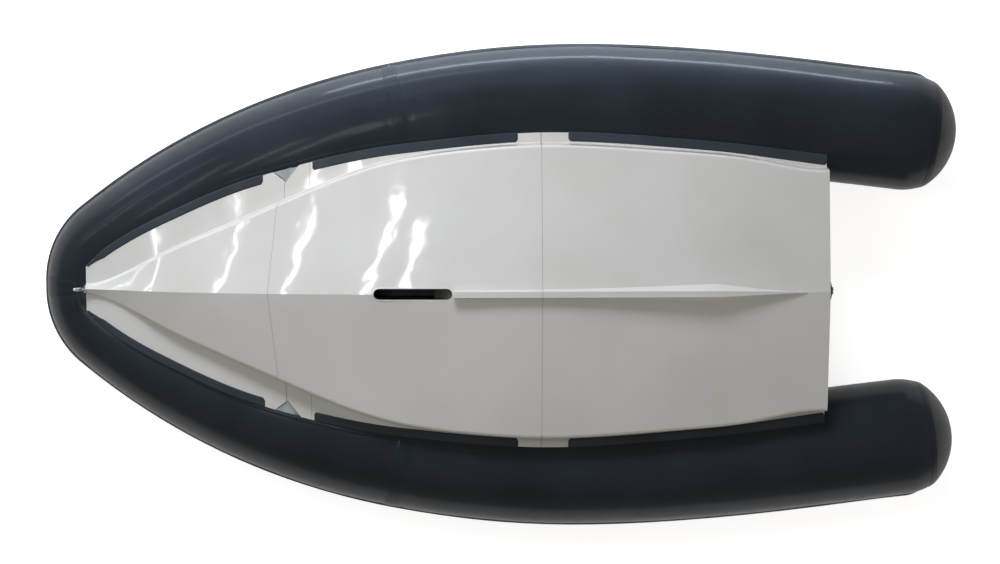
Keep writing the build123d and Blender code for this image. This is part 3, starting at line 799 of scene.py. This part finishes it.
def slot_path(grow):
    """Points round the slot's outline, grown by a width."""
    radius = SLOT_WIDTH / 2 + grow
    straight = (SLOT_END - SLOT_START) - SLOT_WIDTH
    total = 2 * straight + 2 * pi * radius
    middle = (SLOT_START + SLOT_END) / 2
    path = []
    for i in range(SLOT_POINTS):
        d = total * i / SLOT_POINTS
        if d < straight:
            path.append((middle - straight / 2 + d, -radius))
        elif d < straight + pi * radius:
            turned = (d - straight) / radius - pi / 2
            path.append((middle + straight / 2 + radius * cos(turned), radius * sin(turned)))
        elif d < 2 * straight + pi * radius:
            path.append((middle + straight / 2 - (d - straight - pi * radius), radius))
        else:
            turned = (d - 2 * straight - pi * radius) / radius + pi / 2
            path.append((middle - straight / 2 + radius * cos(turned), radius * sin(turned)))
    return path


def make_slot_rim():
    """The rounded lip moulded round the slot."""
    profile = ((0.6, -1.0), (0.7, 0.7), (1.6, 1.2), (3.2, 1.2), (4.6, 0.7), (5.6, -0.6))
    points = []
    for grow, lift in profile:
        for x, y in slot_path(grow):
            points.append(placed(x, y, bottom_height(x, y) + lift))
    faces = grid_faces(len(profile), SLOT_POINTS, closed=True)
    return outward(make_piece("slot_rim", points, faces, gelcoat))


def make_slot_ramp():
    """The moulded ramp that closes the slot's aft end; its dark brown-grey is painted shade, for
    gelcoat in shade.
    """
    rows, columns = 12, 13
    round_start = SLOT_END - SLOT_WIDTH / 2
    points = []
    for i in range(rows):
        t = i / (rows - 1)
        x = SLOT_END - 1 - RAMP_RUN * (1 - t)
        half = SLOT_WIDTH / 2 - 0.8
        if x > round_start:
            half = sqrt(max(half * half - (x - round_start) ** 2, 0.0))
        sink = RAMP_RUN * (1 - t) + RAMP_SINK
        for j in range(columns):
            s = 2 * j / (columns - 1) - 1
            points.append(placed(x, s * half, bottom_height(x, 0) - sink + 1.5 * s * s))
    return make_piece("slot_ramp", points, grid_faces(rows, columns), painted_shade_ramp)


make_slot_rim()
make_slot_ramp()


# ---- Painted shade in the two folds across the bottom ----
SHADE_DEPTH, SHADE_POINTS = 0.8, 121


def bow_fold_x(y):
    """Where the raked bow fold crosses the bottom."""
    drop = keel_height(BOW_FOLD_KEEL) - tube_crest(BOW_FOLD_FLANGE, flange_edge(BOW_FOLD_FLANGE))
    x = BOW_FOLD_KEEL
    for _ in range(3):
        fallen = keel_height(BOW_FOLD_KEEL) - bottom_height(x, y)
        x = BOW_FOLD_KEEL + (BOW_FOLD_FLANGE - BOW_FOLD_KEEL) * fallen / drop
    return x


def make_fold_shade(name, crossing, reach):
    """A thin grey strip just under the skin, seen through the gap between two hull sections: painted
    shade in the gap.
    """
    points = []
    for y in spaced(-reach, reach, SHADE_POINTS):
        x = crossing(y)
        before = laid(hull_skin, x - 4, y, -SHADE_DEPTH)
        after = laid(hull_skin, x + 4, y, -SHADE_DEPTH)
        points += [before.lerp(after, 0.25), before.lerp(after, 0.75)]
    return make_piece(name, points, grid_faces(SHADE_POINTS, 2), painted_gap_shade)


# The folds' grey strips are painted shade in the gaps between hull sections.
make_fold_shade("fold_shade_bow", bow_fold_x, chine_half(870) - CHINE_MARGIN)
make_fold_shade("fold_shade_main", lambda y: MAIN_FOLD, chine_half(MAIN_FOLD) - CHINE_MARGIN)


# ---- Small fastenings and caps ----
def turned_piece(name, profile, seat, material, around=28, ribs=0, rib_depth=0.0):
    """A turned piece from (radius, height) pairs in mm, set on a seat matrix in metres. Where
    it has ribs, they run up all but its middle."""
    points = []
    for radius, height in profile:
        for j in range(around):
            angle = 2 * pi * j / around
            out = radius - (rib_depth * (0.5 + 0.5 * cos(ribs * angle)) if radius > 6 else 0.0)
            points.append(seat @ Vector((out * cos(angle) * MM, out * sin(angle) * MM, height * MM)))
    faces = grid_faces(len(profile), around, closed=True)
    faces.append(tuple(range(len(points) - around, len(points))))
    return outward(make_piece(name, points, faces, material))


def seat_at(place, normal, along=Vector((1, 0, 0))):
    """A matrix that stands a piece at a place, its Z axis along the normal."""
    normal = normal.normalized()
    first = (along - normal * along.dot(normal)).normalized()
    second = normal.cross(first)
    return Matrix.Translation(place) @ Matrix((first, second, normal)).transposed().to_4x4()


SCREW = ((4.2, 0.0), (4.2, 0.5), (3.6, 1.3), (2.4, 1.9), (1.2, 2.0), (1.0, 1.2), (0.3, 1.2))


def screw(name, place, normal, size=1.0):
    """A screw's head with its socket, facing the normal; a size of 1 is 8.4 mm across."""
    profile = [(r * size, h * size) for r, h in SCREW]
    return turned_piece(name, profile, seat_at(place, normal), steel, around=16)


def fitting_axes(run, angle):
    """A place on the tube's skin and its outward direction."""
    inner, outer = skin_point(run, angle, -1.0), skin_point(run, angle, 0.0)
    return outer, (outer - inner).normalized()


VALVE_CAP = ((20.5, 0.0), (20.5, 4.5), (19.4, 6.0), (17.6, 6.4), (15.5, 5.0), (4.0, 4.6), (0.4, 4.6))
VALVE_ANGLE, VALVE_SEAT = radians(-140), 8.7
FINGER_BAR = ((-2.6, 4.4), (-2.0, 7.4), (2.0, 7.4), (2.6, 4.4))
BAR_HALF, BAR_FOOT, BAR_ROWS = 14, 4.4, 9


def dress_valve(name, run):
    """A ribbed cap screwed on the valve's flange, with a finger bar across it."""
    place, out = fitting_axes(run, VALVE_ANGLE)
    seat = seat_at(place + out * VALVE_SEAT * MM, out)
    turned_piece(name + "_cap", VALVE_CAP, seat, nylon, around=72, ribs=18,
                 rib_depth=1.0)
    bar = []
    for t in spaced(-BAR_HALF, BAR_HALF, BAR_ROWS):
        taper = 1 - 0.35 * (abs(t) / BAR_HALF) ** 3
        for width, height in FINGER_BAR:
            rise = BAR_FOOT + (height - BAR_FOOT) * taper
            bar.append(seat @ Vector((t * MM, width * taper * MM, rise * MM)))
    sides, last = len(FINGER_BAR), len(bar)
    faces = grid_faces(BAR_ROWS, sides) + [tuple(range(sides)), tuple(range(last - sides, last))]
    outward(make_piece(name + "_finger_bar", bar, faces, nylon))


dress_valve("valve_port", 2960.0)
dress_valve("valve_starboard", -2960.0)
dress_valve("valve_bow", 720.0)

ROWLOCK_BUSH = ((10.5, 0.0), (10.5, 0.9), (9.6, 1.4), (7.6, 1.4), (7.1, 0.9), (7.05, -12.0),
                (0.4, -12.2))
ROWLOCK_RUN, ROWLOCK_ANGLE, ROWLOCK_FACE = 2250.0, radians(-122), 18


def dress_rowlock(side, word):
    """A steel bush in the rowlock's socket, with a screw fore and aft of it."""
    run = side * ROWLOCK_RUN
    place, out = fitting_axes(run, ROWLOCK_ANGLE)
    along = (skin_point(run + side, ROWLOCK_ANGLE) - skin_point(run, ROWLOCK_ANGLE)).normalized()
    turned_piece("rowlock_bush_" + word, ROWLOCK_BUSH, seat_at(place + out * ROWLOCK_FACE * MM, out),
                 steel)
    for end, step in (("fore", -44), ("aft", 44)):
        spot = place + (out * ROWLOCK_FACE + along * step) * MM
        screw("rowlock_screw_" + word + "_" + end, spot, out)


for side, word in SIDES:
    dress_rowlock(side, word)

DRAIN_PLUG = ((9.6, -8.0), (9.6, 0.2), (13.4, 0.4), (13.6, 3.6), (12.4, 5.0), (8.0, 5.2), (7.4, 2.6),
              (0.4, 2.4))
DRAIN_COLLAR = ((33.0, 0.4), (33.0, 7.0), (31.6, 9.0), (28.0, 10.0), (17.0, 12.2), (14.6, 12.2),
                (14.6, 9.0))
DRAIN_HEIGHT, PLUG_STANDING, COLLAR_BACK = 238.0, 12.3, 12
COLLAR_SCREW_CIRCLE, COLLAR_SCREW_FACE = 25, 10.6


def dress_drain():
    """A ribbed plug in the drain, and a collar with three screws round it."""
    plug_place = placed(HULL_END + PLUG_STANDING, 0, DRAIN_HEIGHT)
    collar_place = plug_place - aft * COLLAR_BACK * MM
    turned_piece("drain_plug", DRAIN_PLUG, seat_at(plug_place, aft, port), nylon,
                 around=60, ribs=10, rib_depth=1.4)
    turned_piece("drain_collar", DRAIN_COLLAR, seat_at(collar_place, aft, port), nylon,
                 around=64)
    collar_face = collar_place + aft * COLLAR_SCREW_FACE * MM
    for number, angle in enumerate((90, 210, 330)):
        turned = port * cos(radians(angle)) + keelward * sin(radians(angle))
        screw("drain_screw_" + str(number), collar_face + turned * COLLAR_SCREW_CIRCLE * MM, aft, 0.9)


dress_drain()

EYE_PLATE, EYE_SCREW_HEIGHT = 4.3, 50.5
for number, across in enumerate((-9, 9)):
    screw("eye_screw_" + str(number), placed(HULL_FRONT - EYE_PLATE, across, EYE_SCREW_HEIGHT),
          -aft, 0.55)

# The clamp pad lies on the transom's front: its thickness, the glue under it and the pad's own.
TRANSOM_THICKNESS, PAD_GLUE, PAD_THICKNESS = 40.0, 0.3, 8.0
pad_face = HULL_END - TRANSOM_THICKNESS - PAD_GLUE - PAD_THICKNESS
for number, (across, height) in enumerate(((-105, 62.0), (105, 62.0), (-105, -58.0), (105, -58.0))):
    screw("pad_screw_" + str(number), placed(pad_face, across, height), -aft, 1.5)


def screw_down(node, name, spots, size):
    """Screws set into a CAD node's deckward face, at (x, y) places of the drawing."""
    skin = skin_tree(node)
    for number, (along, across) in enumerate(spots):
        place = laid(skin, along, across, 0.0, deckward)
        if place is not None:
            screw(name + str(number), place, deckward, size)


for hinge, along, reach in (("deck_hinge_bow", BOW_FOLD_FLANGE, 290.0),
                            ("deck_hinge_main", MAIN_FOLD, 430.0)):
    for row, step in (("fore", -24), ("aft", 24)):
        screw_down(hinge, hinge + "_screw_" + row + "_",
                   [(along + step, across) for across in spaced(-reach, reach, 9)], 1.1)
screw_down("keel_case_cover", "cover_screw_",
           ((1200, 0), (1270, -27), (1270, 27), (1410, -27), (1410, 27), (1480, 0)), 0.9)
screw_down("thwart", "thwart_bolt_", ((1890, -435), (2010, -435), (1890, 435), (2010, 435)), 2.0)


# ---- Floor and light ----
FLOOR_HALF = 40


def stage_floor():
    """A plain white floor that keeps the boat's soft shadow."""
    mesh = bpy.data.meshes.new("floor")
    corners = [(x * FLOOR_HALF, y * FLOOR_HALF, 0) for x, y in ((-1, -1), (1, -1), (1, 1), (-1, 1))]
    mesh.from_pydata(corners, [], [(0, 1, 2, 3)])
    floor = bpy.data.objects.new("floor", mesh)
    bpy.context.collection.objects.link(floor)
    material, tree, _ = new_material("floor_paper")
    matt = add(tree, "BsdfDiffuse", {"Color": paint("f2f2f2")})
    glow = add(tree, "Emission", {"Color": paint("ffffff"), "Strength": 0.78})
    lit = add(tree, "AddShader", {0: matt, 1: glow})
    path = add(tree, "LightPath")
    seen = add(tree, "Math", {0: path.outputs["Is Camera Ray"], 1: path.outputs["Is Glossy Ray"]},
               operation="MAXIMUM")
    choice = add(tree, "MixShader", {0: seen, 1: matt, 2: lit})
    add(tree, "OutputMaterial", {"Surface": choice})
    mesh.materials.append(material)
    floor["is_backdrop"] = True


stage_floor()


def soft_light(name, place, target, width, depth, watts, colour="ffffff"):
    """A flat lamp at a place, facing its target; its sides are in metres."""
    data = bpy.data.lights.new(name, "AREA")
    data.shape = "RECTANGLE"
    data.size, data.size_y = width, depth
    data.energy = watts
    data.color = paint(colour)[:3]
    lamp = bpy.data.objects.new(name, data)
    lamp.location = place
    lamp.rotation_euler = (Vector(target) - Vector(place)).to_track_quat("-Z", "Y").to_euler()
    bpy.context.collection.objects.link(lamp)
    return lamp


window = soft_light("port_window", (-1.0, 4.8, 3.4), target=(-1.2, 0, 0.3), width=3.4, depth=1.5,
                    watts=96, colour="f4f8ff")
window.data.spread = radians(98)
window.visible_glossy = False
soft_light("port_sill", (-3.4, 5.4, 0.9), target=(-0.6, 0.4, 0.4), width=7.0, depth=0.5, watts=80,
           colour="dceaff")
skirting = soft_light("port_skirting", (0.35, 1.58, 0.12), target=(0.35, 0.9, 0.3), width=2.6,
                      depth=0.06, watts=18, colour="d8ecff")
skirting.visible_camera = False
starboard_fill = soft_light("starboard_fill", (0.6, -6.2, 1.3), target=(0, 0, 0.3), width=5.0,
                            depth=1.5, watts=45, colour="ffefdf")
stern_fill = soft_light("stern_fill", (6.6, -1.0, 1.2), target=(1.2, 0, 0.3), width=3.0, depth=1.0,
                        watts=65, colour="fff6ec")
starboard_fill.visible_glossy = stern_fill.visible_glossy = False

# Strip lamps ahead of the bow, whose reflections cross the port side of the bottom. Each is
# given by the plan places of its two ends.
STRIPS = ((-0.8, 0.5, -0.45, 1.3), (-1.75, 0.0, -0.75, 1.5), (-2.6, 0.5, -1.9, 1.6),
          (-4.1, 0.2, -3.4, 2.0), (-8.4, 1.8, -5.4, 4.6), (-9.9, 3.0, -8.8, 5.6))
STRIP_TARGET, CEILING, STRIP_WIDTH, WATTS_PER_METRE = (-0.7, 0.2, 0.5), 4.5, 0.05, 5.5
for number, (x0, y0, x1, y1) in enumerate(STRIPS):
    length = hypot(x1 - x0, y1 - y0)
    strip = soft_light("strip_lamp_" + str(number), ((x0 + x1) / 2, (y0 + y1) / 2, CEILING),
                       STRIP_TARGET, length, STRIP_WIDTH, WATTS_PER_METRE * length)
    forward = Vector((x1 - x0, y1 - y0, 0)).normalized()
    back = (strip.location - Vector(STRIP_TARGET)).normalized()
    across = back.cross(forward).normalized()
    strip.rotation_euler = Matrix((across.cross(back), across, back)).transposed().to_euler()

# The camera sees white paper all round, and the boat is lit by and mirrors a dim, warm room.
world = bpy.data.worlds.new("world")
bpy.context.scene.world = world
world.use_nodes = True
sky = world.node_tree
sky.nodes.clear()
room = add(sky, "Background", {"Color": paint("e6e3de"), "Strength": 0.24})
paper = add(sky, "Background", {"Color": paint("ffffff"), "Strength": 1.0})
rays = add(sky, "LightPath")
either = add(sky, "MixShader", {0: rays.outputs["Is Camera Ray"], 1: room, 2: paper})
add(sky, "OutputWorld", {"Surface": either})

bpy.context.scene.view_settings.view_transform = "Standard"

size = {"cad_low": list(cad_box[0]), "cad_high": list(cad_box[1])}
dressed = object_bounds()
size["dressed_low"], size["dressed_high"] = list(dressed[0]), list(dressed[1])
